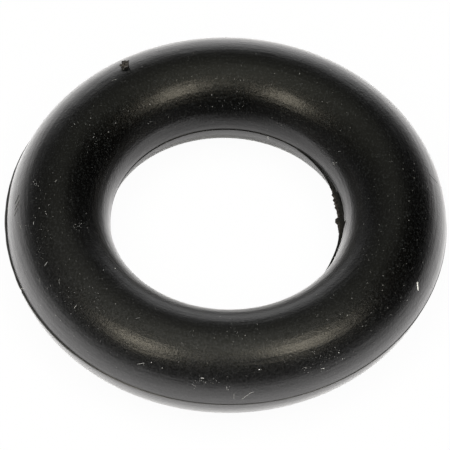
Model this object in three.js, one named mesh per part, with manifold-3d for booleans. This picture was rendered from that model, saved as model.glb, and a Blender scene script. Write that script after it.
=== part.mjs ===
// Exhaust hanger ring: a solid rubber ring of round section, moulded in one piece. It is slipped over
// a hook on the car's floor and a hook on the exhaust, and carries the exhaust between them.
// The ring lies flat, with its centre at the origin and its axis along +Z. Lengths are in millimetres,
// angles in degrees, and azimuths are counted from +X towards +Y.

import * as THREE from 'three';
import { mergeVertices } from 'three/addons/utils/BufferGeometryUtils.js';
import Module from 'manifold-3d';

// Ring

const OUTSIDE_DIAMETER = 60;
const SECTION_DIAMETER = 14;
const RING_SEGMENTS = 96;
const SECTION_SEGMENTS = 32;

// Flash: the thin skin of rubber that was squeezed out between the two halves of the mould.
// It stands out of the ring's mid-plane, outside and inside.

const FLASH_THICKNESS = 0.2;
const OUTER_FLASH_REACH = 0.17;
const INNER_FLASH_REACH = 0.15;
const FLASH_SEGMENTS = 120;

// The flash was trimmed a little off the ring's centre, so outside it stands out furthest on the -X side
// and is flush with the ring, or just below its surface, on the +X side.

const TRIM_SHIFT_X = -0.215;
const TRIM_SHIFT_Y = 0.115;

// Nick in the outer flash.

const NICK_AZIMUTH = -156;
const NICK_WIDTH = 0.7;
const NICK_DEPTH = 0.22;

// Torn stretch of the inner flash: how far its ragged edge stands in from the bore's wall,
// as [azimuth, reach] from one end of the tear to the other.

const TORN_EDGE = [
  [-44, 0.15],
  [-34, 0.4],
  [-21, 0.62],
  [-12, 0.54],
  [-6, 0.58],
  [-1, 0.74],
  [1.5, 0.84],
  [3.2, 1.12],
  [5, 1.06],
  [6, 0.7],
  [8.5, 0.72],
  [11, 0.84],
  [13.2, 0.74],
  [14, 0.88],
  [15, 0.7],
  [16.6, 0.86],
  [18.4, 0.62],
  [20.2, 0.8],
  [21.4, 0.6],
  [26.5, 0.57],
  [33, 0.42],
  [44, 0.29],
  [54, 0.17],
];

// Gouge above the torn stretch, where the flash took a sliver of the bore's wall with it when it was
// pulled off: how far its back lies behind the wall, as [azimuth, depth].

const GOUGE_BACK = [
  [0, 0.02],
  [1.5, 0.12],
  [2.8, 0.34],
  [4.4, 0.16],
  [9, 0.2],
  [14, 0.3],
  [19.4, 0.3],
  [20.6, 0.02],
];
const GOUGE_HEIGHT = 0.7;

// Gate vestige: the ragged stub left where the sprue was torn off the upper half.

const VESTIGE_AZIMUTH = 124.6;
const VESTIGE_SECTION_ANGLE = 67;
const VESTIGE_DIAMETER = 1.1;
const VESTIGE_HEIGHT = 0.75;
const VESTIGE_ROOT_DEPTH = 0.5;
const VESTIGE_ROOT_SCALE = 0.72;

// Outline of the vestige's torn top, as [angle round it, radius and height as shares of the full ones].

const VESTIGE_OUTLINE = [
  [0, 0.86, 0.9],
  [32, 1.22, 0.95],
  [55, 0.95, 0.8],
  [90, 1.0, 1.0],
  [125, 0.96, 0.85],
  [146, 1.26, 0.9],
  [165, 0.8, 0.6],
  [192, 1.4, 0.5],
  [212, 0.84, 0.62],
  [245, 1.16, 0.4],
  [275, 0.8, 0.7],
  [315, 0.88, 0.62],
];

// Rubber: black, cured against a ground mould, so it has a dull sheen.

const RUBBER = new THREE.MeshStandardMaterial({ color: 0x1b1c1c, roughness: 0.45, metalness: 0 });

// Sizes that follow from those above

const RING_RADIUS = (OUTSIDE_DIAMETER - SECTION_DIAMETER) / 2;
const SECTION_RADIUS = SECTION_DIAMETER / 2;
const BORE_RADIUS = RING_RADIUS - SECTION_RADIUS;
const OUTSIDE_RADIUS = RING_RADIUS + SECTION_RADIUS;

const wasm = await Module();
wasm.setup();

/** A closed geometry as a solid that can be joined and cut. */
function solidOf(geometry) {
  const bare = geometry.clone();
  bare.deleteAttribute('normal');
  bare.deleteAttribute('uv');
  const merged = mergeVertices(bare);
  return new wasm.Manifold(new wasm.Mesh({
    numProp: 3,
    vertProperties: new Float32Array(merged.attributes.position.array),
    triVerts: new Uint32Array(merged.index.array),
  }));
}

/** A solid's vertices and triangles as a geometry. */
function geometryOf(solid) {
  const mesh = solid.getMesh();
  const geometry = new THREE.BufferGeometry();
  geometry.setAttribute('position', new THREE.BufferAttribute(mesh.vertProperties, mesh.numProp));
  geometry.setIndex(new THREE.BufferAttribute(mesh.triVerts, 1));
  geometry.computeVertexNormals();
  return geometry;
}

/** Point in plan at an azimuth and a distance from the ring's axis. */
function planPoint(azimuth, radius) {
  const angle = THREE.MathUtils.degToRad(azimuth);
  return new THREE.Vector2(radius * Math.cos(angle), radius * Math.sin(angle));
}

/** Value at an azimuth between the points of a list of [azimuth, value], or undefined outside it. */
function valueAlong(list, azimuth) {
  const next = list.findIndex(([at]) => at >= azimuth);
  if (next < 1) {
    return undefined;
  }
  const [fromAt, from] = list[next - 1];
  const [toAt, to] = list[next];
  return THREE.MathUtils.mapLinear(azimuth, fromAt, toAt, from, to);
}

/** The ring itself: its round section turned about the axis. */
function ringBody() {
  const profile = [];
  for (let i = 0; i <= SECTION_SEGMENTS; i += 1) {
    const angle = (i % SECTION_SEGMENTS) * 2 * Math.PI / SECTION_SEGMENTS;
    profile.push(new THREE.Vector2(
      RING_RADIUS + SECTION_RADIUS * Math.cos(angle),
      SECTION_RADIUS * Math.sin(angle),
    ));
  }
  return solidOf(new THREE.LatheGeometry(profile, RING_SEGMENTS).rotateX(Math.PI / 2));
}

/** Outer edge of the flash: a circle about the trim's centre, with the nick cut into it. */
function outerEdge() {
  const radius = OUTSIDE_RADIUS + OUTER_FLASH_REACH;
  const halfNick = THREE.MathUtils.radToDeg(NICK_WIDTH / 2 / radius);
  const points = [];
  for (let i = 0; i < FLASH_SEGMENTS; i += 1) {
    const azimuth = -180 + (i * 360) / FLASH_SEGMENTS;
    if (Math.abs(azimuth - NICK_AZIMUTH) > halfNick) {
      points.push([azimuth, radius]);
    }
  }
  points.push([NICK_AZIMUTH - halfNick, radius]);
  points.push([NICK_AZIMUTH, radius - NICK_DEPTH]);
  points.push([NICK_AZIMUTH + halfNick, radius]);
  points.sort((a, b) => a[0] - b[0]);
  const shift = new THREE.Vector2(TRIM_SHIFT_X, TRIM_SHIFT_Y);
  return points.map(([azimuth, reach]) => planPoint(azimuth, reach).add(shift));
}

/** Inner edge of the flash: a circle just inside the bore's wall, broken by the torn stretch. */
function innerEdge() {
  const tornFrom = TORN_EDGE[0][0];
  const tornTo = TORN_EDGE[TORN_EDGE.length - 1][0];
  const points = TORN_EDGE.map(([azimuth, reach]) => planPoint(azimuth, BORE_RADIUS - reach));
  const plainSpan = 360 - (tornTo - tornFrom);
  const steps = Math.round(plainSpan * FLASH_SEGMENTS / 360);
  for (let i = 1; i < steps; i += 1) {
    points.push(planPoint(tornTo + (i * plainSpan) / steps, BORE_RADIUS - INNER_FLASH_REACH));
  }
  return points;
}

/** The flash: one thin plate in the mid-plane, most of which lies inside the ring. */
function flash() {
  const shape = new THREE.Shape(outerEdge());
  shape.holes.push(new THREE.Path(innerEdge()));
  const plate = new THREE.ExtrudeGeometry(shape, { depth: FLASH_THICKNESS, bevelEnabled: false });
  return solidOf(plate.translate(0, 0, -FLASH_THICKNESS / 2));
}

/** The cut that makes the gouge: it starts well inside the bore and stands on the mid-plane. */
function gougeCut() {
  const from = GOUGE_BACK[0][0];
  const to = GOUGE_BACK[GOUGE_BACK.length - 1][0];
  const back = GOUGE_BACK.map(([azimuth, depth]) => planPoint(azimuth, BORE_RADIUS + depth));
  const front = [to, from].map((azimuth) => planPoint(azimuth, BORE_RADIUS / 2));
  const cut = new THREE.ExtrudeGeometry(new THREE.Shape([...back, ...front]), {
    depth: GOUGE_HEIGHT,
    bevelEnabled: false,
  });
  return solidOf(cut);
}

/** The vestige: a stub that widens to a ragged, uneven top, set square on the ring's surface. */
function gateVestige() {
  const outline = VESTIGE_OUTLINE.map(([angle, share]) => planPoint(angle, share * VESTIGE_DIAMETER / 2));
  const stub = new THREE.ExtrudeGeometry(new THREE.Shape(outline), {
    depth: VESTIGE_ROOT_DEPTH + VESTIGE_HEIGHT,
    bevelEnabled: false,
  });
  const heights = [...VESTIGE_OUTLINE.map(([angle, , share]) => [angle, share]), [360, VESTIGE_OUTLINE[0][2]]];
  const position = stub.attributes.position;
  for (let i = 0; i < position.count; i += 1) {
    if (position.getZ(i) === 0) {
      position.setXYZ(
        i,
        position.getX(i) * VESTIGE_ROOT_SCALE,
        position.getY(i) * VESTIGE_ROOT_SCALE,
        -VESTIGE_ROOT_DEPTH,
      );
    } else {
      const angle = THREE.MathUtils.radToDeg(Math.atan2(position.getY(i), position.getX(i)));
      const share = valueAlong(heights, THREE.MathUtils.euclideanModulo(angle, 360)) ?? heights[0][1];
      position.setZ(i, VESTIGE_HEIGHT * share);
    }
  }
  const section = THREE.MathUtils.degToRad(VESTIGE_SECTION_ANGLE);
  const azimuth = THREE.MathUtils.degToRad(VESTIGE_AZIMUTH);
  stub.rotateZ(-azimuth);
  stub.rotateY(Math.PI / 2 - section);
  stub.translate(
    RING_RADIUS + SECTION_RADIUS * Math.cos(section),
    0,
    SECTION_RADIUS * Math.sin(section),
  );
  return solidOf(stub.rotateZ(azimuth));
}

const ring = new THREE.Mesh(
  geometryOf(ringBody().subtract(gougeCut()).add(flash()).add(gateVestige())),
  RUBBER,
);
ring.name = 'hanger_ring';

const hanger = new THREE.Group();
hanger.add(ring);

export default hanger;
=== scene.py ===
import math
import random

import bpy
import numpy as np
from mathutils import Matrix, Vector, noise
from mathutils.bvhtree import BVHTree


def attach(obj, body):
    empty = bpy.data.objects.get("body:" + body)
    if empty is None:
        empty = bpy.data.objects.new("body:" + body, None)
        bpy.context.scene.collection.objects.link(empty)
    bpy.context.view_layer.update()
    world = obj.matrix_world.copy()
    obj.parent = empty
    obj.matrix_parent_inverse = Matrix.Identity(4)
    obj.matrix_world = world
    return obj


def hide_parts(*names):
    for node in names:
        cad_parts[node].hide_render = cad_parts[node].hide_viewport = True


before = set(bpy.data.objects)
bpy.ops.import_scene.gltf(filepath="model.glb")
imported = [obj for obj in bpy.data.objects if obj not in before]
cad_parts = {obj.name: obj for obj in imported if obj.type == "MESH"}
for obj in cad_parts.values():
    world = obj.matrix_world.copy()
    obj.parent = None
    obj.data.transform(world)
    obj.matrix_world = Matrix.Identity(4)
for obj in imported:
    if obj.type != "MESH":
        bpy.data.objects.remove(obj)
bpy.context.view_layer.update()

# Camera
# The ring is seen from its -Y side, from 54 degrees up, through a long lens, so that its far side is
# nearly as large as its near side. Its frame is a square of 450 pixels.

MM = 0.001
FRAME_PIXELS = 450
# Sensor and lens in the camera's own millimetres.
SENSOR_WIDTH = 36
LENS = 558.5
CAMERA_DISTANCE = 954.6 * MM
CAMERA_ELEVATION = math.radians(54.4)
CAMERA_ROLL = math.radians(1.79)
CAMERA_AIM = Vector((-0.285, -0.409, 0)) * MM

camera_data = bpy.data.cameras.new("camera")
camera_data.lens = LENS
camera_data.sensor_width = SENSOR_WIDTH
camera_data.clip_end = 10
camera = bpy.data.objects.new("camera", camera_data)
bpy.context.scene.collection.objects.link(camera)
bpy.context.scene.camera = camera

to_camera = Vector((0, -math.cos(CAMERA_ELEVATION), math.sin(CAMERA_ELEVATION)))
level_right = Vector((1, 0, 0))
level_up = to_camera.cross(level_right)
camera_right = level_right * math.cos(CAMERA_ROLL) + level_up * math.sin(CAMERA_ROLL)
camera_up = to_camera.cross(camera_right)
camera_axes = Matrix((camera_right, camera_up, to_camera)).transposed()
camera.matrix_world = Matrix.Translation(CAMERA_AIM + to_camera * CAMERA_DISTANCE) @ camera_axes.to_4x4()


def sight_line(pixel_x, pixel_y):
    """Direction from the camera through a point of the frame, in pixels from its top left corner."""
    half = FRAME_PIXELS / 2
    reach = LENS / SENSOR_WIDTH * FRAME_PIXELS
    local = Vector((pixel_x - half, half - pixel_y, -reach))
    return (camera_axes @ local).normalized()


# Hanger ring
# One solid moulding of black natural rubber, cured in a steel mould of two halves. The halves met at the
# ring's mid-plane, so a thin flash stands out there, torn on one side of the bore, and the sprue's gate
# left a ragged stub on the upper half.

RING_RADIUS = 23 * MM
SECTION_RADIUS = 7 * MM
BORE_RADIUS = RING_RADIUS - SECTION_RADIUS

# Degrees between the mesh's sections: plain, and fine along the tear and at the nick.
PLAIN_STEP = 0.65
FINE_STEP = 0.2

# The mould's lower half sat a little to the left of its upper half.
LOWER_SHIFT = Vector((-0.2, 0.03, 0)) * MM

# The flash outside: half its thickness, how far it stands out as azimuth in degrees and reach in mm (it
# was trimmed off centre), how ragged it is as a share of that, and its small root fillet.
FLASH_HALF = 0.05 * MM
OUTER_FLASH_REACH = [
    (-180, 0.37), (-165, 0.27), (-150, 0.25), (-135, 0.22), (-120, 0.15), (-105, 0.12), (-90, 0.09),
    (-75, 0.08), (-60, 0.08), (-45, 0.08), (-30, 0.07), (-15, 0.05), (0, 0.03), (15, 0.0), (150, 0.0),
    (155, 0.02), (160, 0.13), (165, 0.23), (170, 0.27), (175, 0.34), (180, 0.37),
]
FLASH_RAGGEDNESS = 0.08
FLASH_FILLET = 0.14 * MM
# Its height against the ring's middle.
OUTER_PARTING_HEIGHT = -0.05 * MM

# A nick in it: where it is and half its width, in degrees, and how deep it is.
NICK_AZIMUTH = -156
NICK_HALF_ANGLE = 0.7
NICK_DEPTH = 0.14 * MM

# Flash in the bore beside the tear: how far it stands in, as azimuth in degrees and reach in mm, and
# its height, as azimuth and mm.
INNER_FLASH_REACH = [(-180, 0.03), (-90, 0.11), (120, 0.11), (140, 0.08), (158, 0.03), (180, 0.03)]
INNER_PARTING_HEIGHT = [(-40, 0.0), (20, 0.0), (45, -0.1), (75, -0.2), (100, -0.19), (130, -0.09), (170, 0.0)]

# How far the wall swells out beside the flash, outside and in the bore, as azimuth and mm, and how high
# above and below it.
OUTER_SWELLING = [
    (-180, 0.07), (-165, 0.08), (-150, 0.1), (-135, 0.1), (-120, 0.08), (-90, 0.03), (-60, 0.0),
    (140, 0.0), (150, 0.1), (155, 0.2), (160, 0.27), (165, 0.25), (170, 0.19), (175, 0.1), (180, 0.07),
]
BORE_SWELLING = [(-70, 0.0), (-45, 0.06), (-28, 0.2), (-15, 0.26), (-6, 0.12), (0, 0.0)]
SWELLING_HEIGHT = 1.1 * MM

# How far the torn edge stands in from the bore's wall, as azimuth in degrees and reach in mm.
TORN_EDGE = [
    (-44, 0.15), (-34, 0.4), (-21, 0.58), (-12, 0.58), (-6, 0.64), (-1, 0.82), (1.5, 0.94), (3.2, 1.24),
    (5, 1.18), (6, 0.82), (8.5, 0.86), (11, 0.9), (12.4, 1.0), (13.2, 0.86), (14.6, 1.0), (15.6, 0.84),
    (17.4, 0.96), (18.6, 0.72), (20.6, 0.82), (21.6, 0.62), (26.5, 0.54), (33, 0.42), (44, 0.29), (54, 0.17),
]
# The gouge above it: how far its back lies behind the bore's wall, as azimuth in degrees and depth in mm,
# its height, and how ragged its lip is as a share of that.
GOUGE_BACK = [
    (-2.8, 0.0), (-0.8, 0.34), (1.2, 0.2), (2.8, 0.3), (4.4, 0.16), (9, 0.2), (14, 0.3), (19.4, 0.3),
    (20.6, 0.0),
]
GOUGE_HEIGHT = 0.7 * MM
LIP_RAGGEDNESS = 0.15
# The wall tore higher at one place, beside the knob.
PEAK_AZIMUTH = -0.8
PEAK_HALF_ANGLE = 1.8
PEAK_HEIGHT = 1.3 * MM
# The tear is rough and hangs down between these azimuths, and fades to plain flash over some degrees more.
TEAR_FULL = (-2, 20)
TEAR_FADE = 12
TEAR_ROUGHNESS = 0.05 * MM
TEAR_DROOP = 0.2 * MM
# Shares of torn rubber: pale on the edges, and lower in the hollows and under the flap, which paints
# shade there.
PALE_TEAR = 1.0
SHADED_TEAR = 0.5


def smooth_step(value, low, high):
    """0 below low, 1 above high, and a smooth rise between."""
    share = np.clip((value - low) / (high - low), 0, 1)
    return share * share * (3 - 2 * share)


def along(points, azimuth):
    """Value in metres at each azimuth between the points of a list of (degrees, mm)."""
    at, value = zip(*points)
    return np.interp(azimuth, at, value) * MM


def ripple(azimuth, cells, layer):
    """Smooth noise round the ring, about -1 to 1, with that many waves in a full turn."""
    turn = np.radians(azimuth)
    radius = cells / 6.0
    return np.array([2 * noise.noise((radius * math.cos(t), radius * math.sin(t), layer)) for t in turn])


def section_azimuths():
    """Azimuths of the mesh's sections: close along the tear and at the nick, wider elsewhere."""
    made = [-180.0]
    while made[-1] < 180:
        here = made[-1]
        in_tear = TORN_EDGE[0][0] <= here <= TORN_EDGE[-1][0]
        at_nick = abs(here - NICK_AZIMUTH) < 2 * NICK_HALF_ANGLE + PLAIN_STEP
        made.append(here + (FINE_STEP if in_tear or at_nick else PLAIN_STEP))
    return np.array(made[:-1])


def ring_rows(azimuth):
    """Radius, height and the torn, flash and lower half shares of each row of points along the ring.

    The rows start at the outer flash's tip and go up, over the top, down the bore and its flash, and back
    round below, to the outer flash's edge.
    """
    rows = []

    def row(radius, height, torn=0.0, flash=0.0, lower=0.0):
        rows.append([np.zeros_like(azimuth) + part for part in (radius, height, torn, flash, lower)])

    def wall(height, side):
        # Side is 1 for the outer wall and -1 for the bore's wall.
        swelling = along(OUTER_SWELLING if side > 0 else BORE_SWELLING, azimuth)
        swelling = swelling * np.exp(-np.square(height / SWELLING_HEIGHT))
        return RING_RADIUS + side * (np.sqrt(SECTION_RADIUS**2 - np.square(height)) + swelling)

    def arc(first, last, count, side=0, lower=0.0):
        for angle in np.radians(np.linspace(first, last, count)):
            height = SECTION_RADIUS * math.sin(angle)
            radius = wall(height, side) if side else RING_RADIUS + SECTION_RADIUS * math.cos(angle)
            row(radius, height, lower=lower)

    tear = smooth_step(azimuth, TEAR_FULL[0] - TEAR_FADE, TEAR_FULL[0])
    tear *= 1 - smooth_step(azimuth, TEAR_FULL[1], TEAR_FULL[1] + TEAR_FADE)

    line = OUTER_PARTING_HEIGHT
    lower_way = LOWER_SHIFT.x * np.cos(np.radians(azimuth)) + LOWER_SHIFT.y * np.sin(np.radians(azimuth))
    trim = along(OUTER_FLASH_REACH, azimuth) * (1 + FLASH_RAGGEDNESS * ripple(azimuth, 90, 1.0))
    trim -= NICK_DEPTH * np.clip(1 - abs(azimuth - NICK_AZIMUTH) / NICK_HALF_ANGLE, 0, 1)
    reach = np.maximum(trim, np.maximum(lower_way, 0) + FLASH_HALF / 8)
    fillet = np.minimum(FLASH_FILLET, reach / 2)

    # Upper face of the outer flash, in to its fillet.
    for share in (0.75, 0.5, 0.25, 0):
        height = line + FLASH_HALF + fillet * (1 - share)**2
        row(wall(height, 1) + share * reach, height, flash=share)

    # Upper half: the swollen wall, the round skin over the crest, and the bore's wall down to the gouge.
    arc(4, 14, 4, 1)
    arc(19, 150, 27)
    lip = GOUGE_HEIGHT * (1 - LIP_RAGGEDNESS + LIP_RAGGEDNESS * ripple(azimuth, 70, 2.0))
    lip += PEAK_HEIGHT * np.clip(1 - abs(azimuth - PEAK_AZIMUTH) / PEAK_HALF_ANGLE, 0, 1)
    for above, height in ((0.25, 2.9), (0.2, 2.4), (0.15, 2.0), (0.1, 1.6), (0.05, 1.2)):
        height = np.maximum(height * MM, lip + above * MM)
        row(wall(height, -1), height)

    # The lip, and the gouge's back down to the flash.
    line = along(INNER_PARTING_HEIGHT, azimuth)
    depth = along(GOUGE_BACK, azimuth)
    rough = tear * TEAR_ROUGHNESS
    row(wall(lip, -1), lip)
    # The gouge's back takes the shaded share of torn rubber: painted shade.
    for share in (0.97, 0.75, 0.5, 0.3, 0.15):
        height = line + FLASH_HALF + share * (lip - line - FLASH_HALF)
        back = BORE_RADIUS + depth + rough * ripple(azimuth, 110, 3.0 + share)
        row(np.where(depth > 0, np.maximum(back, wall(height, -1)), wall(height, -1)), height,
            SHADED_TEAR * (depth > 0))

    # Upper face of the inner flash, out to its torn edge, and back below it to the wall.
    root = wall(line, -1)
    tip = BORE_RADIUS - np.where(
        (azimuth > TORN_EDGE[0][0]) & (azimuth < TORN_EDGE[-1][0]),
        along(TORN_EDGE, azimuth), along(INNER_FLASH_REACH, azimuth),
    )
    outermost = root + np.minimum(lower_way, 0) - FLASH_HALF / 2
    tip = np.minimum(tip + rough * ripple(azimuth, 260, 5.0), outermost)
    ledge_back = np.maximum(BORE_RADIUS + depth, root)
    # The ledge is painted dark near its root, as painted shade, and pale at its torn edge.
    for share in (0, 0.2, 0.4, 0.6, 0.75, 0.9):
        slope = tear * 0.8 * TEAR_DROOP * smooth_step(share, 0.5, 1.0)
        bumps = rough * (0.3 + share) * ripple(azimuth, 160, 6.0 + 3 * share)
        torn = tear * (SHADED_TEAR + (PALE_TEAR - SHADED_TEAR) * smooth_step(share, 0.6, 0.9))
        row(ledge_back + share * (tip - ledge_back), line + FLASH_HALF + bumps - slope, torn)
    slope = tear * TEAR_DROOP
    row(tip + 0.4 * FLASH_HALF, line + 0.6 * FLASH_HALF - slope, tear * PALE_TEAR)
    row(tip, line - slope, tear * PALE_TEAR)
    # Below the edge the flap's underside is painted dark: painted shade.
    row(tip + 0.4 * FLASH_HALF, line - 0.6 * FLASH_HALF - 1.1 * slope, tear * SHADED_TEAR)
    row((tip + root) / 2, line - FLASH_HALF - slope / 2, tear * SHADED_TEAR)
    row(root, line - FLASH_HALF, lower=1.0)

    # Lower half, and the cut edge of the outer flash.
    arc(-176, -166, 4, -1, lower=1.0)
    arc(-161, -19, 29, lower=1.0)
    arc(-14, -3, 4, 1, lower=1.0)
    line = OUTER_PARTING_HEIGHT
    base = wall(line, 1)
    row(base, line - FLASH_HALF, lower=1.0)
    row(base + reach - FLASH_HALF / 4, line - 0.8 * FLASH_HALF, flash=1)
    row(base + reach, line - FLASH_HALF / 3, flash=1)
    row(base + reach, line + FLASH_HALF / 3, flash=1)
    row(base + reach - FLASH_HALF / 4, line + 0.8 * FLASH_HALF, flash=1)
    return np.array(rows)


def ring_mesh():
    """The ring with its flash and tear, as one closed skin of four-sided faces."""
    azimuth = section_azimuths()
    radius, height, torn, flash, lower = ring_rows(azimuth).transpose(1, 2, 0)
    turn = np.radians(azimuth)[:, None]
    points = np.stack([radius * np.cos(turn), radius * np.sin(turn), height], axis=-1)
    points += lower[..., None] * np.array(LOWER_SHIFT)
    sections, rows = radius.shape
    here = np.arange(sections)[:, None] * rows + np.arange(rows)[None, :]
    ahead = np.roll(here, -1, axis=0)
    faces = np.stack([here, ahead, np.roll(ahead, -1, axis=1), np.roll(here, -1, axis=1)], axis=-1)
    mesh = bpy.data.meshes.new("hanger_ring_skin")
    mesh.from_pydata(points.reshape(-1, 3), [], faces.reshape(-1, 4))
    for name, values in (("torn", torn), ("flash", flash)):
        share = mesh.attributes.new(name, "FLOAT", "POINT")
        share.data.foreach_set("value", values.reshape(-1).astype(np.float32))
    mesh.update()
    return mesh


def linear(hex_code):
    """An sRGB hex colour as linear red, green, blue and alpha."""
    parts = [int(hex_code[i:i + 2], 16) / 255 for i in (1, 3, 5)]
    return [p / 12.92 if p <= 0.04045 else ((p + 0.055) / 1.055) ** 2.4 for p in parts] + [1]


def add(tree, kind, values=None, links=None, **settings):
    """Adds a node to the tree, with its settings, the values of its inputs and the links into them."""
    made = tree.nodes.new("ShaderNode" + kind)
    for name, setting in settings.items():
        setattr(made, name, setting)
    for name, value in (values or {}).items():
        made.inputs[name].default_value = value
    for name, socket in (links or {}).items():
        tree.links.new(socket, made.inputs[name])
    return made


def new_material(name):
    """An empty node material and its tree."""
    material = bpy.data.materials.new(name)
    material.use_nodes = True
    material.node_tree.nodes.clear()
    return material, material.node_tree


def moulded_natural_rubber():
    """Natural rubber with carbon black, cured against ground steel: near black, with a dull soft sheen.

    Pattern scales are given as waves or cells per millimetre.
    """
    material, tree = new_material("moulded_natural_rubber")
    place = add(tree, "TexCoord").outputs["Object"]

    # Position on the section: the distance from the ring's axis, and the arc length round the section.
    flat = add(tree, "VectorMath", {1: (1, 1, 0)}, {0: place}, operation="MULTIPLY").outputs[0]
    radius = add(tree, "VectorMath", links={0: flat}, operation="LENGTH").outputs["Value"]
    out = add(tree, "Math", {1: RING_RADIUS}, {0: radius}, operation="SUBTRACT").outputs[0]
    across = add(tree, "SeparateXYZ", links={0: place})
    angle = add(tree, "Math", links={0: across.outputs["Z"], 1: out}, operation="ARCTAN2").outputs[0]

    # The mould was turned on a lathe, which left fine lines round the ring, drawn about 0.6 mm apart to show.
    arc = add(tree, "Math", {1: SECTION_RADIUS / (0.6 * MM)}, {0: angle}, operation="MULTIPLY").outputs[0]
    slow = add(tree, "VectorMath", {"Scale": 1 / (9 * MM)}, {0: flat}, operation="SCALE").outputs[0]
    slow = add(tree, "SeparateXYZ", links={0: slow})
    lathe = add(tree, "CombineXYZ",
                links={"X": slow.outputs["X"], "Y": slow.outputs["Y"], "Z": arc}).outputs[0]
    lines = add(tree, "TexNoise", {"Scale": 1, "Detail": 2}, {"Vector": lathe}).outputs["Fac"]

    # Bloom: fine pale grains on the skin, about 0.3 mm across. The same grain breaks up the pale film below,
    # of dust and painted light.
    bloom = add(tree, "TexNoise", {"Scale": 3.3 / MM, "Detail": 2, "Roughness": 0.7},
                {"Vector": place}).outputs["Fac"]
    patchy = add(tree, "MapRange", {"From Min": 0.3, "From Max": 0.7}, {"Value": bloom}).outputs[0]
    bloom = add(tree, "MapRange", {"From Min": 0.54, "From Max": 0.84}, {"Value": bloom}).outputs[0]
    tint = add(tree, "Mix", {6: linear("#000000"), 7: linear("#303231")}, {0: bloom},
               data_type="RGBA").outputs[2]

    # Pale film on the outer side, strongest at the azimuth of -105 degrees: dust, and painted light on the
    # side of the lamps and the camera. It fades out over the crest, from 75 to 115 degrees round the section.
    side = math.radians(-105)
    towards = add(tree, "VectorMath", links={0: flat}, operation="NORMALIZE").outputs[0]
    towards = add(tree, "VectorMath", {1: (math.cos(side), math.sin(side), 0)}, {0: towards},
                  operation="DOT_PRODUCT").outputs["Value"]
    dust_and_lit_side = add(tree, "MapRange", {"From Min": 0.1, "From Max": 0.95}, {"Value": towards},
               interpolation_type="SMOOTHSTEP").outputs[0]
    outer = add(tree, "MapRange", {"From Min": math.radians(115), "From Max": math.radians(75)},
                {"Value": angle}).outputs[0]
    dust_and_lit_side = add(tree, "Math", links={0: dust_and_lit_side, 1: outer}, operation="MULTIPLY").outputs[0]
    dust_and_lit_side = add(tree, "Math", links={0: dust_and_lit_side, 1: patchy}, operation="MULTIPLY").outputs[0]
    # Mixes in the film: pale dust, and painted light on the lamps' side.
    tint = add(tree, "Mix", {7: linear("#232323")}, {0: dust_and_lit_side, 6: tint}, data_type="RGBA").outputs[2]

    # Specks of dust, 0.05 to 0.2 mm across, thicker in some places than in others.
    cells = add(tree, "TexVoronoi", {"Scale": 1.5 / MM}, {"Vector": place})
    chance = add(tree, "SeparateColor", links={0: cells.outputs["Color"]})
    drift = add(tree, "TexNoise", {"Scale": 0.075 / MM, "Detail": 1}, {"Vector": place}).outputs["Fac"]
    drift = add(tree, "MapRange", {"From Min": 0.35, "From Max": 0.7, "To Min": 0.03, "To Max": 0.09},
                {"Value": drift}).outputs[0]
    size = add(tree, "MapRange", {"To Min": 0.3, "To Max": 1.3}, {"Value": chance.outputs[0]}).outputs[0]
    size = add(tree, "Math", links={0: size, 1: drift}, operation="MULTIPLY").outputs[0]
    speck = add(tree, "Math", links={0: size, 1: cells.outputs["Distance"]},
                operation="GREATER_THAN").outputs[0]
    pale = add(tree, "MapRange", {"To Min": 0.1, "To Max": 1.0}, {"Value": chance.outputs[1]}).outputs[0]
    speck = add(tree, "Math", links={0: speck, 1: pale}, operation="MULTIPLY").outputs[0]
    tint = add(tree, "Mix", {7: linear("#a3a39c")}, {0: speck, 6: tint}, data_type="RGBA").outputs[2]

    # Torn rubber: rough and brownish on its edges, and painted near black in its hollows as painted shade.
    torn = add(tree, "Attribute", attribute_name="torn").outputs["Fac"]
    shreds = add(tree, "TexNoise", {"Scale": 4.2 / MM, "Detail": 2}, {"Vector": place}).outputs["Fac"]
    shreds = add(tree, "MapRange", {"From Min": 0.35, "From Max": 0.65, "To Min": -0.3, "To Max": 0.12},
                 {"Value": shreds}).outputs[0]
    is_torn = add(tree, "MapRange", {"From Max": 0.4}, {"Value": torn}).outputs[0]
    raw = add(tree, "Math", links={0: torn, 1: shreds}, operation="ADD").outputs[0]
    raw = add(tree, "MapRange", {"From Min": 0.45, "From Max": 1.0}, {"Value": raw}).outputs[0]
    raw = add(tree, "Mix", {6: linear("#080807"), 7: linear("#3b3631")}, {0: raw},
              data_type="RGBA").outputs[2]
    colour = add(tree, "Mix", links={0: is_torn, 6: tint, 7: raw}, data_type="RGBA").outputs[2]

    # Trimmed flash: a thin cut edge, grey and matt.
    cut = add(tree, "Attribute", attribute_name="flash").outputs["Fac"]
    colour = add(tree, "Mix", {7: linear("#4a4a48")}, {0: cut, 6: colour}, data_type="RGBA").outputs[2]

    # Gloss: uneven over some 2 mm, duller on the tear and on the flash.
    haze = add(tree, "TexNoise", {"Scale": 0.42 / MM, "Detail": 5, "Roughness": 0.6}, {"Vector": place})
    gloss = add(tree, "MapRange", {"To Min": 0.24, "To Max": 0.38}, {"Value": haze.outputs["Fac"]}).outputs[0]
    rough = add(tree, "Mix", {3: 0.8}, {0: is_torn, 2: gloss}).outputs[0]
    rough = add(tree, "Mix", {3: 0.6}, {0: cut, 2: rough}).outputs[0]

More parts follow.
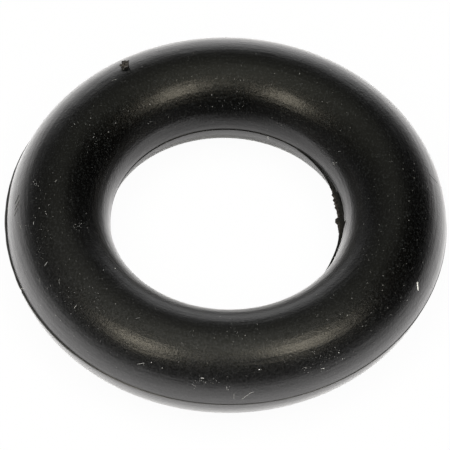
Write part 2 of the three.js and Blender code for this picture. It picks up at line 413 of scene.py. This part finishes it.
    # Relief: the ground steel's fine grain, the lathe's lines, and soft hollows a few mm across, where the
    # skin sank as it cured.
    grain = add(tree, "TexNoise", {"Scale": 3.2 / MM, "Detail": 3, "Roughness": 0.55}, {"Vector": place})
    bump = add(tree, "Bump", {"Strength": 0.6, "Distance": 0.045 * MM}, {"Height": grain.outputs["Fac"]})
    bump = add(tree, "Bump", {"Strength": 0.5, "Distance": 0.065 * MM},
               {"Height": lines, "Normal": bump.outputs[0]})
    sunk = add(tree, "TexNoise", {"Scale": 0.24 / MM, "Detail": 2}, {"Vector": place}).outputs["Fac"]
    bump = add(tree, "Bump", {"Strength": 0.5, "Distance": 0.14 * MM},
               {"Height": sunk, "Normal": bump.outputs[0]})

    # Cured rubber's waxy skin gives the dull coat, and its fine dust the sheen towards the rims.
    shader = add(tree, "BsdfPrincipled",
                 {"IOR": 1.65, "Coat Weight": 1.0, "Coat Roughness": 0.28, "Coat IOR": 1.6,
                  "Sheen Weight": 1.0, "Sheen Roughness": 0.28},
                 {"Base Color": colour, "Roughness": rough, "Normal": bump.outputs[0],
                  "Coat Normal": bump.outputs[0]})
    add(tree, "OutputMaterial", links={"Surface": shader.outputs[0]})
    return material


def piece(name, mesh, material):
    """An object of the part, which rides on the part's one body."""
    made = bpy.data.objects.new(name, mesh)
    bpy.context.scene.collection.objects.link(made)
    made.data.materials.append(material)
    for face in made.data.polygons:
        face.use_smooth = True
    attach(made, "root")
    return made


rubber = moulded_natural_rubber()
ring = piece("ring", ring_mesh(), rubber)
ring.data.set_sharp_from_angle(angle=math.radians(40))
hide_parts("hanger_ring")

# Gate vestige
# The stub that was left where the sprue was torn off, on the far side of the ring's upper half. It is the
# ring's own rubber, ragged at its top, and stands square on the surface.

# Where it stands, its sizes, the degrees between the points round it, and how large and deep the lumps of
# its torn skin are.
VESTIGE_AZIMUTH = math.radians(124.6)
VESTIGE_SECTION_ANGLE = math.radians(67)
VESTIGE_RADIUS = 0.55 * MM
VESTIGE_HEIGHT = 0.75 * MM
VESTIGE_ROOT_DEPTH = 0.3 * MM
VESTIGE_STEP = 4
VESTIGE_LUMPS = 0.22 * MM
VESTIGE_ROUGHNESS = 0.07 * MM

# Outline of its torn top: angle round it in degrees, and radius and height as shares of the full ones.
VESTIGE_OUTLINE = [
    (0, 1.05, 0.9), (24, 1.08, 0.95), (42, 1.4, 1.0), (54, 1.15, 0.9), (90, 1.02, 1.0), (122, 1.2, 0.95),
    (133, 1.52, 0.95), (148, 1.0, 0.8), (166, 1.0, 0.72), (178, 1.62, 0.72), (190, 1.45, 0.62),
    (202, 0.84, 0.5), (222, 0.95, 0.4), (236, 1.5, 0.2), (252, 1.1, 0.3), (300, 0.95, 0.45),
    (322, 1.0, 0.4), (338, 1.0, 0.8), (360, 1.05, 0.9),
]
# Its levels from the sunk root up the side and in over the top: share of the outline's radius and height,
# and share of torn rubber.
VESTIGE_LEVELS = [
    (0.72, -1, 0.5), (0.78, 0.1, 0.5), (0.76, 0.45, 0.5), (0.88, 0.75, 0.6), (1.0, 0.93, 0.6),
    (0.93, 1.03, 0.75), (0.75, 0.9, 0.85), (0.5, 0.95, 1.0), (0.25, 0.8, 0.85),
]


def lump(spot):
    """Smooth noise at a point, as a vector that is the same at each run."""
    return Vector([noise.noise(spot + Vector((0, 0, way))) for way in (0, 31.7, 67.3)])


def vestige_mesh():
    """The stub: a ring of points at each level, closed at the root and at the middle of the top."""
    angle = np.arange(0, 360, VESTIGE_STEP)
    at, out, up = (np.array(part) for part in zip(*VESTIGE_OUTLINE))
    radius = np.interp(angle, at, out) * VESTIGE_RADIUS
    top = np.interp(angle, at, up) * VESTIGE_HEIGHT
    turn = np.radians(angle)
    points, torn = [], []
    for number, (share, height_share, tear) in enumerate(VESTIGE_LEVELS):
        for here, reach, height in zip(turn, radius, top):
            lift = -VESTIGE_ROOT_DEPTH if height_share < 0 else height_share * height
            spot = Vector((share * reach * math.cos(here), share * reach * math.sin(here), lift))
            if number:
                spot += VESTIGE_ROUGHNESS * lump(spot / VESTIGE_LUMPS + Vector((number, 0, 0)))
            points.append(spot)
            torn.append(tear)
    points.append(Vector((0, 0, 0.75 * VESTIGE_HEIGHT)))
    torn.append(0.8)
    count = len(angle)
    faces = [tuple(range(count - 1, -1, -1))]
    last = (len(VESTIGE_LEVELS) - 1) * count
    for below in range(0, last, count):
        above = below + count
        for i in range(count):
            j = (i + 1) % count
            faces.append((below + i, below + j, above + j, above + i))
    faces += [(last + i, last + (i + 1) % count, len(points) - 1) for i in range(count)]

    stand = Matrix.Rotation(VESTIGE_AZIMUTH, 4, "Z")
    stand = stand @ Matrix.Translation((RING_RADIUS + SECTION_RADIUS * math.cos(VESTIGE_SECTION_ANGLE), 0,
                                        SECTION_RADIUS * math.sin(VESTIGE_SECTION_ANGLE)))
    stand = stand @ Matrix.Rotation(math.pi / 2 - VESTIGE_SECTION_ANGLE, 4, "Y")
    stand = stand @ Matrix.Rotation(-VESTIGE_AZIMUTH, 4, "Z")
    mesh = bpy.data.meshes.new("gate_vestige_skin")
    mesh.from_pydata([stand @ spot for spot in points], [], faces)
    share = mesh.attributes.new("torn", "FLOAT", "POINT")
    share.data.foreach_set("value", np.array(torn, dtype=np.float32))
    mesh.update()
    return mesh


vestige = piece("gate_vestige", vestige_mesh(), rubber)
vestige.data.set_sharp_from_angle(angle=math.radians(35))
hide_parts("hanger_ring")

# Dust and scuffs
# Chips of pale dust, lint and small scuffs that lie on the ring, each where the photo shows one. Clusters of
# specks and a scatter of fine lint stand for what is too small to place. All are thin ridges of dry dust or
# raised skin, sunk a little in the ring.

# Size of a pixel on the ring, a ridge's height as a share of its width, and how deep its foot is sunk.
PIXEL = 0.136 * MM
RIDGE_SHARE = 0.35
SUNK = 0.015 * MM

# Scuffs and lint: their ends in pixels, their width in pixels and how pale they are.
STROKES = {
    "white nick": ((417.2, 281.6), (418.2, 291.2), 2.2, 1.0),
    "diagonal stroke": ((241.4, 399.6), (251.4, 392.2), 0.6, 0.66),
    "stroke at its end": ((249.4, 393.0), (254.2, 392.2), 0.5, 0.48),
    "upright stroke beside it": ((233.9, 392.8), (233.8, 399.4), 0.5, 0.48),
    "dash at the front": ((320.6, 368.4), (324.8, 368.6), 0.7, 0.72),
    "arc at the front": ((136.8, 364.2), (145.0, 363.0), 0.6, 0.6),
    "arc above it": ((135.6, 318.6), (139.8, 317.6), 0.6, 0.3),
    "hair at the left": ((44.2, 266.4), (47.6, 261.4), 0.6, 0.6),
    "hair below it": ((73.8, 308.8), (76.8, 304.8), 0.6, 0.66),
    "hair by the flash": ((39.0, 277.6), (40.2, 284.2), 0.6, 0.3),
    "hair beside that": ((58.6, 279.4), (59.6, 284.6), 0.6, 0.26),
    "hair between them": ((46.2, 286.6), (48.2, 289.8), 0.6, 0.3),
    "scratch over the flash": ((20.6, 288.3), (23.8, 288.7), 0.6, 1),
    "scratch by the stub": ((110.8, 81.0), (117.4, 78.8), 0.5, 0.31),
    "tick in the bore": ((266.8, 136.8), (268.8, 139.2), 0.7, 1),
    "lint over the tear": ((332.6, 162.0), (334.6, 164.8), 0.6, 0.48),
    "lint beside that": ((334.8, 163.4), (337.4, 162.0), 0.6, 0.36),
    "stroke over the tear": ((337.4, 151.6), (340.6, 151.2), 0.6, 0.26),
    "upright stroke": ((33.4, 221.4), (33.6, 224.8), 0.7, 0.48),
    "fibre by the cluster": ((191.8, 383.8), (196.8, 387.4), 0.5, 0.48),
    "pale fibre in the cluster": ((200.6, 377.8), (204.2, 378.6), 0.7, 0.84),
    "fibre right of the cluster": ((226.2, 386.0), (227.2, 390.6), 0.5, 0.6),
    "dark streak 1": ((19.4, 194.0), (14.6, 205.0), 1.3, 0.1),
    "dark streak 2": ((19.8, 199.6), (14.4, 211.0), 1.2, 0.1),
    "dark streak 3": ((18.6, 207.0), (14.0, 216.6), 1.2, 0.11),
    "light streak 1": ((20.6, 196.0), (15.6, 207.4), 1.1, 0.26),
    "light streak 2": ((20.4, 203.6), (15.0, 214.2), 1.1, 0.24),
    "hairline at the right": ((428.0, 173.0), (438.3, 184.0), 0.5, 0.02),
    "hatch 1": ((19.2, 224.6), (21.6, 229.4), 0.6, 0.36),
    "hatch 2": ((21.6, 224.2), (19.0, 228.8), 0.6, 0.3),
}
# Each stroke follows the skin in this many steps.
STROKE_STEPS = 8
# Chips: their middles in pixels, their width in pixels and how pale they are.
CHIPS = {
    "chip at the front": ((259.2, 369.6), 1.7, 1),
    "front left chip": ((151.3, 362.5), 1.2, 1),
    "chip beside it": ((162.3, 368.0), 1.0, 0.75),
    "front right chip": ((339.1, 352.7), 1.1, 0.96),
    "chip below it": ((342.6, 359.0), 1.0, 0.93),
    "right chip": ((407.2, 300.4), 0.9, 0.75),
    "left bore chip": ((115.5, 268.4), 1.4, 0.84),
    "chip beside that": ((103.3, 270.0), 1.0, 0.71),
    "near bore chip": ((220.0, 316.6), 1.0, 0.75),
    "far left chip": ((150.0, 104.4), 1.3, 0.75),
    "second far left chip": ((115.4, 122.9), 1.1, 0.8),
    "third far left chip": ((108.7, 132.1), 1.1, 0.8),
    "fourth far left chip": ((93.6, 137.2), 1.0, 0.71),
    "fifth far left chip": ((74.7, 124.2), 1.1, 0.75),
    "sixth far left chip": ((90.8, 118.1), 1.0, 0.61),
    "seventh far left chip": ((150.0, 121.6), 0.8, 0.71),
    "eighth far left chip": ((168.5, 117.0), 0.8, 0.66),
    "left chip": ((39.1, 208.1), 1.3, 0.75),
    "second left chip": ((38.0, 186.3), 1.1, 0.71),
    "third left chip": ((49.4, 185.0), 0.9, 0.66),
    "fourth left chip": ((55.3, 181.6), 1.0, 0.61),
    "fifth left chip": ((48.8, 204.9), 1.0, 0.61),
    "lower left chip": ((129.8, 334.6), 0.8, 0.71),
    "far chip": ((178.0, 50.2), 1.0, 0.66),
    "far right chip": ((330.8, 69.5), 1.0, 0.71),
    "second far right chip": ((322.2, 101.6), 0.9, 0.66),
    "upper right chip": ((406.5, 140.6), 0.8, 0.56),
    "second upper right chip": ((392.0, 161.4), 0.8, 0.56),
    "third upper right chip": ((395.5, 204.5), 0.8, 0.56),
}
# How far a chip reaches from its middle, as a share of its width.
CHIP_REACH = 0.6

# Clusters of specks too fine to place one by one: their middles and spreads in pixels, and their counts. A
# spread is so many standard deviations.
SIGMAS_IN_SPREAD = 1.5
CLUSTERS = {
    "fibres at the front": ((204, 381), (9, 3.2), 34),
    "specks right of them": ((228, 388), (2, 2.5), 7),
    "specks at the front right": ((307, 369), (4, 2.4), 14),
    "specks beside those": ((322, 358), (16, 9), 34),
    "specks at the left": ((46, 232), (18, 42), 34),
    "specks at the lower left": ((76, 300), (24, 26), 42),
    "patch at the left": ((36.5, 183.5), (2.4, 3), 11),
    "patch in the dark": ((80, 226), (5, 5), 20),
    "patch below the bore": ((236, 330), (38, 12), 34),
    "specks at the far left": ((112, 128), (30, 16), 24),
    "specks beyond the bore": ((228, 106), (32, 14), 24),
}
# Their specks' shortest and longest lengths and widths, in pixels, and how pale they are.
CLUSTER_LENGTH = (0.7, 2.8)
CLUSTER_WIDTH = (0.35, 0.7)
CLUSTER_PALENESS = (0.15, 0.9)

# Lint: lengths and widths in mm, how pale it is and how few pieces are pale, how much it bends, and the
# azimuths round which it gathers with their spreads, in degrees. Round the section it lies between two
# angles, mostly at a third.
LINT_SEED = 11
LINT_COUNT = 380
LINT_LENGTH = (0.08, 0.4)
LINT_WIDTH = (0.03, 0.07)
LINT_PALENESS = (0.05, 0.4)
LINT_PALENESS_POWER = 1.2
LINT_BEND = 0.6
LINT_SIDES = [(-150, 34), (-112, 22), (-55, 26), (-50, 16), (170, 40), (100, 70)]
LINT_ROUND_SECTION = (-20, 165, 60)

skin = BVHTree.FromPolygons([v.co for v in ring.data.vertices], [f.vertices for f in ring.data.polygons])


def under_pixel(pixel):
    """Point of the ring's skin that the camera sees at a pixel, and the skin's normal, or none off it."""
    spot, normal, _, _ = skin.ray_cast(camera.matrix_world.translation, sight_line(*pixel))
    return spot, normal


def ridge(stations, width):
    """A closed thin ridge along points of the skin, given with their normals, that narrows at both ends."""
    points = [stations[0][0] - stations[0][1] * SUNK]
    for at in range(1, len(stations) - 1):
        spot, normal = stations[at]
        along_it = (stations[at + 1][0] - stations[at - 1][0]).normalized()
        across = normal.cross(along_it).normalized() * width / 2
        points += [spot + across - normal * SUNK, spot - across - normal * SUNK,
                   spot + normal * width * RIDGE_SHARE]
    points.append(stations[-1][0] - stations[-1][1] * SUNK)
    last = len(points) - 1
    faces = [(0, 2, 1), (0, 1, 3), (0, 3, 2)]
    for first in range(1, last - 3, 3):
        a, b, c = first, first + 1, first + 2
        faces += [(a, b, b + 3, a + 3), (b, c, c + 3, b + 3), (c, a, a + 3, c + 3)]
    a, b, c = last - 3, last - 2, last - 1
    faces += [(a, b, last), (b, c, last), (c, a, last)]
    return points, faces


def on_section(azimuth, section_angle):
    """Point of the round skin at an azimuth and an angle round the section, and its normal, in radians."""
    normal = Vector((math.cos(section_angle) * math.cos(azimuth), math.cos(section_angle) * math.sin(azimuth),
                     math.sin(section_angle)))
    return Vector((math.cos(azimuth), math.sin(azimuth), 0)) * RING_RADIUS + normal * SECTION_RADIUS, normal


def dust_mesh():
    """All the strokes, chips, clusters and lint as one mesh, with how pale each is as an attribute."""
    points, faces, pale = [], [], []

    def put(stations, width, paleness):
        made, sides = ridge(stations, width)
        faces.extend([tuple(len(points) + corner for corner in side) for side in sides])
        points.extend(made)
        pale.extend([paleness] * len(made))

    for (start, end, width, paleness) in STROKES.values():
        steps = [i / STROKE_STEPS for i in range(STROKE_STEPS + 1)]
        pixels = [(start[0] + (end[0] - start[0]) * t, start[1] + (end[1] - start[1]) * t) for t in steps]
        put([under_pixel(pixel) for pixel in pixels], width * PIXEL, paleness)
    for ((x, y), width, paleness) in CHIPS.values():
        reach = CHIP_REACH * width
        stations = [under_pixel((x + part * reach, y)) for part in (-1, 0, 1)]
        put(stations, width * PIXEL, paleness)

    chance = random.Random(LINT_SEED)
    for (x, y), (spread_x, spread_y), count in CLUSTERS.values():
        for _ in range(count):
            at_x = chance.gauss(x, spread_x / SIGMAS_IN_SPREAD)
            at_y = chance.gauss(y, spread_y / SIGMAS_IN_SPREAD)
            way = chance.uniform(0, math.pi)
            reach = chance.triangular(*CLUSTER_LENGTH, CLUSTER_LENGTH[0]) / 2
            step_x, step_y = reach * math.cos(way), reach * math.sin(way)
            stations = [under_pixel((at_x + part * step_x, at_y + part * step_y)) for part in (-1, 0, 1)]
            if all(spot is not None for spot, _ in stations):
                put(stations, chance.uniform(*CLUSTER_WIDTH) * PIXEL, chance.uniform(*CLUSTER_PALENESS))
    for _ in range(LINT_COUNT):
        middle, spread = chance.choice(LINT_SIDES)
        azimuth = math.radians(chance.gauss(middle, spread))
        section_angle = math.radians(chance.triangular(*LINT_ROUND_SECTION))
        way = chance.uniform(0, 2 * math.pi)
        length = chance.uniform(*LINT_LENGTH) * MM
        width = chance.uniform(*LINT_WIDTH) * MM
        bend = chance.uniform(-LINT_BEND, LINT_BEND)
        stations = []
        for t in (-0.5, -0.25, 0, 0.25, 0.5):
            step = Vector((math.cos(way + bend * t), math.sin(way + bend * t))) * length * t
            here = azimuth + step.x / RING_RADIUS
            stations.append(on_section(here, section_angle + step.y / SECTION_RADIUS))
        put(stations, width, chance.uniform(*LINT_PALENESS) ** LINT_PALENESS_POWER)

    mesh = bpy.data.meshes.new("dust_and_scuffs")
    mesh.from_pydata(points, [], faces)
    share = mesh.attributes.new("pale", "FLOAT", "POINT")
    share.data.foreach_set("value", np.array(pale, dtype=np.float32))
    mesh.update()
    return mesh


def pale_dust():
    """Dust and scuffed skin: matt, from dark grey to white, uneven along each mark."""
    material, tree = new_material("pale_dust")
    place = add(tree, "TexCoord").outputs["Object"]
    grain = add(tree, "TexNoise", {"Scale": 6 / MM, "Detail": 2}, {"Vector": place}).outputs["Fac"]
    uneven = add(tree, "MapRange", {"From Min": 0.3, "From Max": 0.7, "To Min": 0.6, "To Max": 1.1},
                 {"Value": grain}).outputs[0]
    pale = add(tree, "Attribute", attribute_name="pale").outputs["Fac"]
    level = add(tree, "Math", links={0: pale, 1: uneven}, operation="MULTIPLY").outputs[0]
    colour = add(tree, "Mix", {6: linear("#0c0c0c"), 7: linear("#fbfaf4")}, {0: level},
                 data_type="RGBA").outputs[2]
    bump = add(tree, "Bump", {"Strength": 0.4, "Distance": 0.02 * MM}, {"Height": grain}).outputs[0]
    shader = add(tree, "BsdfPrincipled", {"Roughness": 0.9, "IOR": 1.4},
                 {"Base Color": colour, "Normal": bump})
    add(tree, "OutputMaterial", links={"Surface": shader.outputs[0]})
    return material


dust = piece("dust", dust_mesh(), pale_dust())
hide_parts("hanger_ring")

# Table
# A sheet of white card that the ring lies on. It reads as plain white and keeps the ring's shadow. It is
# none of the hanger.

FLOOR_SIZE = 6
FLOOR_HEIGHT = -SECTION_RADIUS
# How much of the card's look is plain white, the rest being its own, lit and shadowed.
PLAIN_WHITE = 0.96


def white_table():
    """Matt white card, which the camera sees as white, and which the rubber mirrors with its darker places.

    They are painted shade: far out in front and at both sides, where the light falls off, and round the
    ring's foot.
    """
    material, tree = new_material("white_card")
    path = add(tree, "LightPath")
    mirrored = path.outputs["Is Glossy Ray"]
    card = add(tree, "BsdfDiffuse", {"Color": linear("#f4f4f4")})
    white = add(tree, "Mix", {6: (1, 1, 1, 1), 7: linear("#fcfafa")}, {0: mirrored},
                data_type="RGBA").outputs[2]
    glow = add(tree, "Emission", {"Strength": 1}, {"Color": white})
    seen = add(tree, "Math", links={0: path.outputs["Is Camera Ray"], 1: mirrored},
               operation="MAXIMUM").outputs[0]
    seen = add(tree, "Math", {1: PLAIN_WHITE}, {0: seen}, operation="MULTIPLY").outputs[0]
    both = add(tree, "MixShader", links={0: seen, 1: card.outputs[0], 2: glow.outputs[0]})

    # Painted shade far out in front, and far out at the left and at the right.
    spot = add(tree, "TexCoord").outputs["Object"]
    place = add(tree, "SeparateXYZ", links={0: spot})
    reach = add(tree, "VectorMath", {1: (1, 1, 0)}, {0: spot}, operation="MULTIPLY").outputs[0]
    reach = add(tree, "VectorMath", links={0: reach}, operation="LENGTH").outputs["Value"]
    far = add(tree, "MapRange", {"From Min": 34 * MM, "From Max": 74 * MM}, {"Value": reach}).outputs[0]
    front = add(tree, "VectorMath", {1: (0.5, -0.87, 0)}, {0: spot}, operation="DOT_PRODUCT").outputs["Value"]
    front = add(tree, "MapRange", {"From Min": -10 * MM, "From Max": 24 * MM, "To Max": 0.5},
                {"Value": front}).outputs[0]
    front = add(tree, "Math", links={0: far, 1: front}, operation="MULTIPLY").outputs[0]
    left = add(tree, "MapRange", {"From Min": -40 * MM, "From Max": -110 * MM, "To Max": 0.45},
               {"Value": place.outputs["X"]}).outputs[0]
    right = add(tree, "MapRange", {"From Min": 55 * MM, "From Max": 180 * MM, "To Max": 0.9},
                {"Value": place.outputs["X"]}).outputs[0]
    outer = add(tree, "Math", links={0: left, 1: right}, operation="MAXIMUM").outputs[0]
    outer = add(tree, "Math", links={0: outer, 1: front}, operation="MAXIMUM").outputs[0]

    # Inside the bore, in the near wall's shade: most in front and in the middle.
    hole = add(tree, "MapRange", {"From Min": 24 * MM, "From Max": 18 * MM, "To Max": 0.92},
               {"Value": reach}).outputs[0]
    near = add(tree, "MapRange", {"From Min": 14 * MM, "From Max": -8 * MM, "To Min": 0.3},
               {"Value": place.outputs["Y"]}).outputs[0]
    middle = add(tree, "Math", links={0: place.outputs["X"]}, operation="ABSOLUTE").outputs[0]
    middle = add(tree, "MapRange", {"From Min": 14 * MM, "From Max": 4 * MM, "To Min": 0.2},
                 {"Value": middle}).outputs[0]
    hole = add(tree, "Math", links={0: hole, 1: near}, operation="MULTIPLY").outputs[0]
    hole = add(tree, "Math", links={0: hole, 1: middle}, operation="MULTIPLY").outputs[0]

    # Painted shade under the far wall, close to where the ring touches the card.
    foot = add(tree, "MapRange", {"From Min": 14.6 * MM, "From Max": 16.8 * MM, "To Max": 0.95},
               {"Value": reach}).outputs[0]
    under = add(tree, "MapRange", {"From Min": 25 * MM, "From Max": 22.5 * MM}, {"Value": reach}).outputs[0]
    back = add(tree, "MapRange", {"From Min": 2 * MM, "From Max": 9 * MM},
               {"Value": place.outputs["Y"]}).outputs[0]
    foot = add(tree, "Math", links={0: foot, 1: under}, operation="MULTIPLY").outputs[0]
    foot = add(tree, "Math", links={0: foot, 1: back}, operation="MULTIPLY").outputs[0]
    inner = add(tree, "Math", links={0: hole, 1: foot}, operation="MAXIMUM").outputs[0]

    # All of it is painted shade, and only the rubber's reflections show it.
    shade = add(tree, "Math", links={0: outer, 1: inner}, operation="ADD").outputs[0]
    shade = add(tree, "Math", links={0: shade, 1: mirrored}, operation="MULTIPLY").outputs[0]
    black = add(tree, "Emission", {"Color": (0, 0, 0, 1), "Strength": 0})
    dimmed = add(tree, "MixShader", links={0: shade, 1: both.outputs[0], 2: black.outputs[0]})
    add(tree, "OutputMaterial", links={"Surface": dimmed.outputs[0]})
    return material


half = FLOOR_SIZE / 2
floor_mesh = bpy.data.meshes.new("table_top")
corners = [(-half, -half), (half, -half), (half, half), (-half, half)]
floor_mesh.from_pydata([(x, y, FLOOR_HEIGHT) for x, y in corners], [], [(0, 1, 2, 3)])
floor = bpy.data.objects.new("table", floor_mesh)
floor.data.materials.append(white_table())
bpy.context.scene.collection.objects.link(floor)

# Lamps
# Two soft lamps on the camera's side, at the left and at the right, each with a dimmer glow round it, and a
# wide even light from overhead that shows in no reflection.

LAMP_COLOUR = "#fff5de"
LEFT_LAMP = (-136, 51)
RIGHT_LAMP = (-40, 58)


def towards(azimuth, elevation):
    """Direction of the studio at an azimuth and an elevation in degrees."""
    turn, rise = math.radians(azimuth), math.radians(elevation)
    return Vector((math.cos(rise) * math.cos(turn), math.cos(rise) * math.sin(turn), math.sin(rise)))


def soft_lamp(name, place, distance, width, height, radiance, colour):
    """An oval soft lamp that faces the ring, with the brightness that its face is seen with."""
    data = bpy.data.lights.new(name, "AREA")
    data.shape = "ELLIPSE"
    data.size = width
    data.size_y = height
    data.energy = radiance * math.pi * math.pi * width * height / 4
    data.color = linear(colour)[:3]
    lamp = bpy.data.objects.new(name, data)
    way = towards(*place)
    facing = way.to_track_quat("Z", "Y").to_matrix().to_4x4()
    lamp.matrix_world = Matrix.Translation(way * distance) @ facing
    bpy.context.scene.collection.objects.link(lamp)
    return lamp


soft_lamp("left_lamp", LEFT_LAMP, 0.6, 0.13, 0.2, 3.1, LAMP_COLOUR)
soft_lamp("left_glow", LEFT_LAMP, 0.62, 0.32, 0.32, 0.28, LAMP_COLOUR)
soft_lamp("right_lamp", RIGHT_LAMP, 0.33, 0.08, 0.11, 2.85, LAMP_COLOUR)
soft_lamp("right_glow", RIGHT_LAMP, 0.34, 0.18, 0.18, 0.28, LAMP_COLOUR)
fill = soft_lamp("ceiling_fill", (-90, 75), 1.5, 2.2, 2.2, 2.7, "#ffffff")
fill.visible_glossy = False

# Surroundings
# The dim room that the rubber mirrors: brighter at the horizon and overhead, dark at the right of the ring's
# far side and behind the camera, with a pale wall at the back. The camera itself sees plain white.

# Brightness of the room by the height of the direction, from 0 at the horizon to 1 overhead.
ROOM_LEVELS = [
    (0.0, 0.25), (0.09, 0.12), (0.26, 0.05), (0.42, 0.028), (0.7, 0.05), (0.86, 0.1), (0.94, 0.2),
    (1.0, 0.26),
]
# Its upper part is a little warm: the share of blue there.
WARM_ABOVE = 0.5
WARM_BLUE = 0.84
# Patches of it: azimuth and elevation of the middle, and half angles of the core and of the rim.
DARK_SIDE = (28, 24, 28, 52)
BEHIND_CAMERA = (-90, 8, 16, 46)
BEHIND_CAMERA_LEVEL = 0.35
BACK_WALL = (92, -8, 8, 40)
BACK_WALL_LEVEL = 0.82

world = bpy.data.worlds.new("studio")
world.use_nodes = True
world.node_tree.nodes.clear()
bpy.context.scene.world = world
room = world.node_tree
direction = add(room, "TexCoord").outputs["Generated"]
height = add(room, "SeparateXYZ", links={0: direction}).outputs["Z"]
levels = add(room, "ValToRGB", links={0: height})
while len(levels.color_ramp.elements) < len(ROOM_LEVELS):
    levels.color_ramp.elements.new(0.5)
for element, (position, level) in zip(levels.color_ramp.elements, ROOM_LEVELS):
    element.position = position
    element.color = (level, level, level * (WARM_BLUE if position > WARM_ABOVE else 1), 1)


def patch(azimuth, elevation, core, rim):
    """1 within core degrees of a direction of the studio, 0 beyond rim degrees, smooth between."""
    near = add(room, "VectorMath", {1: towards(azimuth, elevation)}, {0: direction}, operation="DOT_PRODUCT")
    edge = {"From Min": math.cos(math.radians(rim)), "From Max": math.cos(math.radians(core))}
    return add(room, "MapRange", edge, {"Value": near.outputs["Value"]},
               interpolation_type="SMOOTHSTEP").outputs[0]


clear = add(room, "Math", {0: 1.0}, {1: patch(*DARK_SIDE)}, operation="SUBTRACT").outputs[0]
behind = add(room, "MapRange", {"To Min": 1.0, "To Max": BEHIND_CAMERA_LEVEL},
             {"Value": patch(*BEHIND_CAMERA)}).outputs[0]
clear = add(room, "Math", links={0: clear, 1: behind}, operation="MULTIPLY").outputs[0]
dimmed = add(room, "Mix", {6: (0.0, 0.0, 0.0, 1)}, {0: clear, 7: levels.outputs[0]},
             data_type="RGBA").outputs[2]
walled = add(room, "Mix", {7: (BACK_WALL_LEVEL, BACK_WALL_LEVEL, BACK_WALL_LEVEL, 1)},
             {0: patch(*BACK_WALL), 6: dimmed}, data_type="RGBA").outputs[2]
surround = add(room, "Background", links={"Color": walled})
backdrop = add(room, "Background", {"Color": (1, 1, 1, 1), "Strength": 1})
seen_by = add(room, "LightPath")
shown = add(room, "MixShader", links={0: seen_by.outputs["Is Camera Ray"], 1: surround.outputs[0],
                                      2: backdrop.outputs[0]})
add(room, "OutputWorld", links={"Surface": shown.outputs[0]})

bpy.context.scene.view_settings.view_transform = "Standard"
